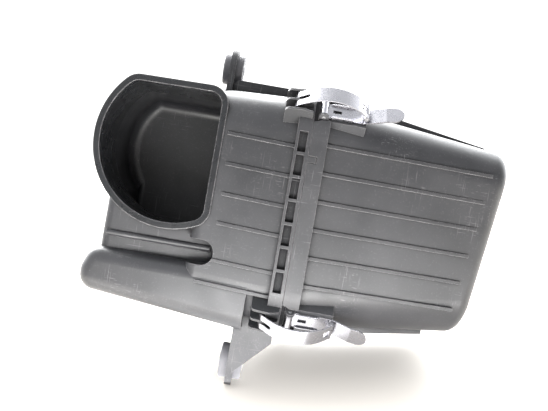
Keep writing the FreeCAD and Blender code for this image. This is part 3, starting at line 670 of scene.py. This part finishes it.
class HOUSING_OT_studio(bpy.types.Operator):
    """Sets the table, the light and the camera"""

    bl_idname = "housing.studio"
    bl_label = "Studio"

    def execute(self, context):
        look = context.scene.studio_settings
        up = Vector(look.table_rise).normalized()
        bpy.ops.object.select_all(action="DESELECT")
        bpy.ops.mesh.primitive_circle_add(vertices=96, radius=TABLE_RADIUS, fill_type="NGON")
        table = context.object
        table.name = "Table"
        table.rotation_mode = "QUATERNION"
        table.rotation_quaternion = up.to_track_quat("Z", "Y")
        table.location = up * lowest_along(up)
        top, tree, shader, where = new_material("Table top")
        tone = ramp(tree, noise(tree, where, 12.0, 2.0), 0.3, 0.7, 0.98, 1.0)
        colour = mixed(tree, 1.0, look.table_colour, add_grey(tree, tone), "MULTIPLY")
        join(tree, shader.inputs["Base Color"], colour)
        shader.inputs["Roughness"].default_value = 0.6
        shader.inputs["Emission Color"].default_value = (1.0, 0.97, 0.94, 1.0)
        shader.inputs["Emission Strength"].default_value = look.table_light
        table.data.materials.append(top)
        table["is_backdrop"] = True

        world = bpy.data.worlds.new("Studio room")
        context.scene.world = world
        world.use_nodes = True
        tree = world.node_tree
        tree.nodes.clear()
        facing = add_node(tree, "TexCoord").outputs["Generated"]
        along = add_node(tree, "SeparateXYZ", Vector=facing).outputs
        ceiling = ramp(tree, along["Z"], -0.1, 0.9, look.sky_front, look.sky_above)
        left = ramp(tree, along["X"], -0.8, 0.6, *SIDE_SHARES)
        room = maths(tree, "MULTIPLY", ceiling, left)
        strength = maths(tree, "ADD", room, ramp(tree, along["Y"], 0.05, 0.6, 0.0, look.sky_behind))
        seen = add_node(tree, "LightPath").outputs["Is Camera Ray"]
        lit = add_node(tree, "Background", Color=(0.97, 0.985, 1.0), Strength=strength)
        plain = add_node(tree, "Background", Color=(1.0, 1.0, 1.0), Strength=BACKDROP_STRENGTH)
        both = add_node(tree, "MixShader", Fac=seen)
        tree.links.new(lit.outputs[0], both.inputs[1])
        tree.links.new(plain.outputs[0], both.inputs[2])
        output = tree.nodes.new("ShaderNodeOutputWorld")
        tree.links.new(both.outputs[0], output.inputs["Surface"])

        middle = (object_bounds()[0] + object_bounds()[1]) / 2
        place = middle + WINDOW_PLACE
        add_soft_light("Window light", place, middle, (1.8, 1.8), look.window_power)
        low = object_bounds()[0]
        place = Vector((middle.x, low.y, low.z)) + FILL_PLACE
        add_soft_light("Low fill", place, place + FILL_AIM, (0.65, 0.06), look.fill_power)
        place = Vector((low.x, low.y, 0.0)) + GLOW_PLACE
        place += up * (lowest_along(up) + GLOW_HEIGHT - up.dot(place))
        add_soft_light("Table glow", place, place + up, (0.15, 0.30), look.glow_power)

        bpy.ops.object.camera_add(location=look.camera_place)
        camera = context.object
        camera.name = "Camera"
        forward = Vector(look.camera_target) - Vector(look.camera_place)
        camera.rotation_mode = "QUATERNION"
        turn = Quaternion((0.0, 0.0, 1.0), look.camera_roll)
        camera.rotation_quaternion = forward.to_track_quat("-Z", "Y") @ turn
        camera.data.lens = look.lens
        camera.data.sensor_width = 36.0
        camera.data.clip_start = 0.01
        context.scene.camera = camera
        context.scene.view_settings.view_transform = "Standard"
        return {"FINISHED"}


def add_soft_light(name, place, target, sides, power):
    """A rectangular area light that faces a point; the camera doesn't see it."""
    bpy.ops.object.light_add(type="AREA", location=place)
    light = bpy.context.object
    light.name = name
    light.data.shape = "RECTANGLE"
    light.data.size, light.data.size_y = sides
    light.visible_camera = False
    light.data.energy = power
    light.rotation_mode = "QUATERNION"
    light.rotation_quaternion = (target - place).to_track_quat("-Z", "Y")
    return light


# ---- Panel and registration --------------------------------------------------------------------------------
OPERATORS = [
    HOUSING_OT_effects, HOUSING_OT_shells, HOUSING_OT_ducts, HOUSING_OT_latches, HOUSING_OT_mounts,
    HOUSING_OT_folds, HOUSING_OT_filter, HOUSING_OT_sensor, HOUSING_OT_studio,
]
SETTINGS = {
    "moulded_finish": MouldedFinish,
    "metal_finish": MetalFinish,
    "lever_fold": LeverFold,
    "soft_finish": SoftFinish,
    "studio_settings": StudioSettings,
}


class HOUSING_PT_panel(bpy.types.Panel):
    """Lists the housing's settings and steps"""

    bl_idname = "HOUSING_PT_panel"
    bl_label = "Air filter housing"
    bl_space_type = "VIEW_3D"
    bl_region_type = "UI"
    bl_category = "Housing"

    def draw(self, context):
        for name, group in SETTINGS.items():
            box = self.layout.box()
            box.label(text=group.__doc__)
            for key in group.__annotations__:
                box.prop(getattr(context.scene, name), key)
        for operator in OPERATORS:
            self.layout.operator(operator.bl_idname)


def register():
    for group in SETTINGS.values():
        bpy.utils.register_class(group)
    for name, group in SETTINGS.items():
        setattr(bpy.types.Scene, name, PointerProperty(type=group))
    for operator in OPERATORS:
        bpy.utils.register_class(operator)
    bpy.utils.register_class(HOUSING_PT_panel)


def unregister():
    bpy.utils.unregister_class(HOUSING_PT_panel)
    for operator in reversed(OPERATORS):
        bpy.utils.unregister_class(operator)
    for name in SETTINGS:
        delattr(bpy.types.Scene, name)
    for group in SETTINGS.values():
        bpy.utils.unregister_class(group)


def main():
    """Registers the add-on and runs its steps in order."""
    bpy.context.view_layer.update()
    register()
    for operator in OPERATORS:
        family, step = operator.bl_idname.split(".")
        getattr(getattr(bpy.ops, family), step)()


if __name__ == "__main__":
    main()
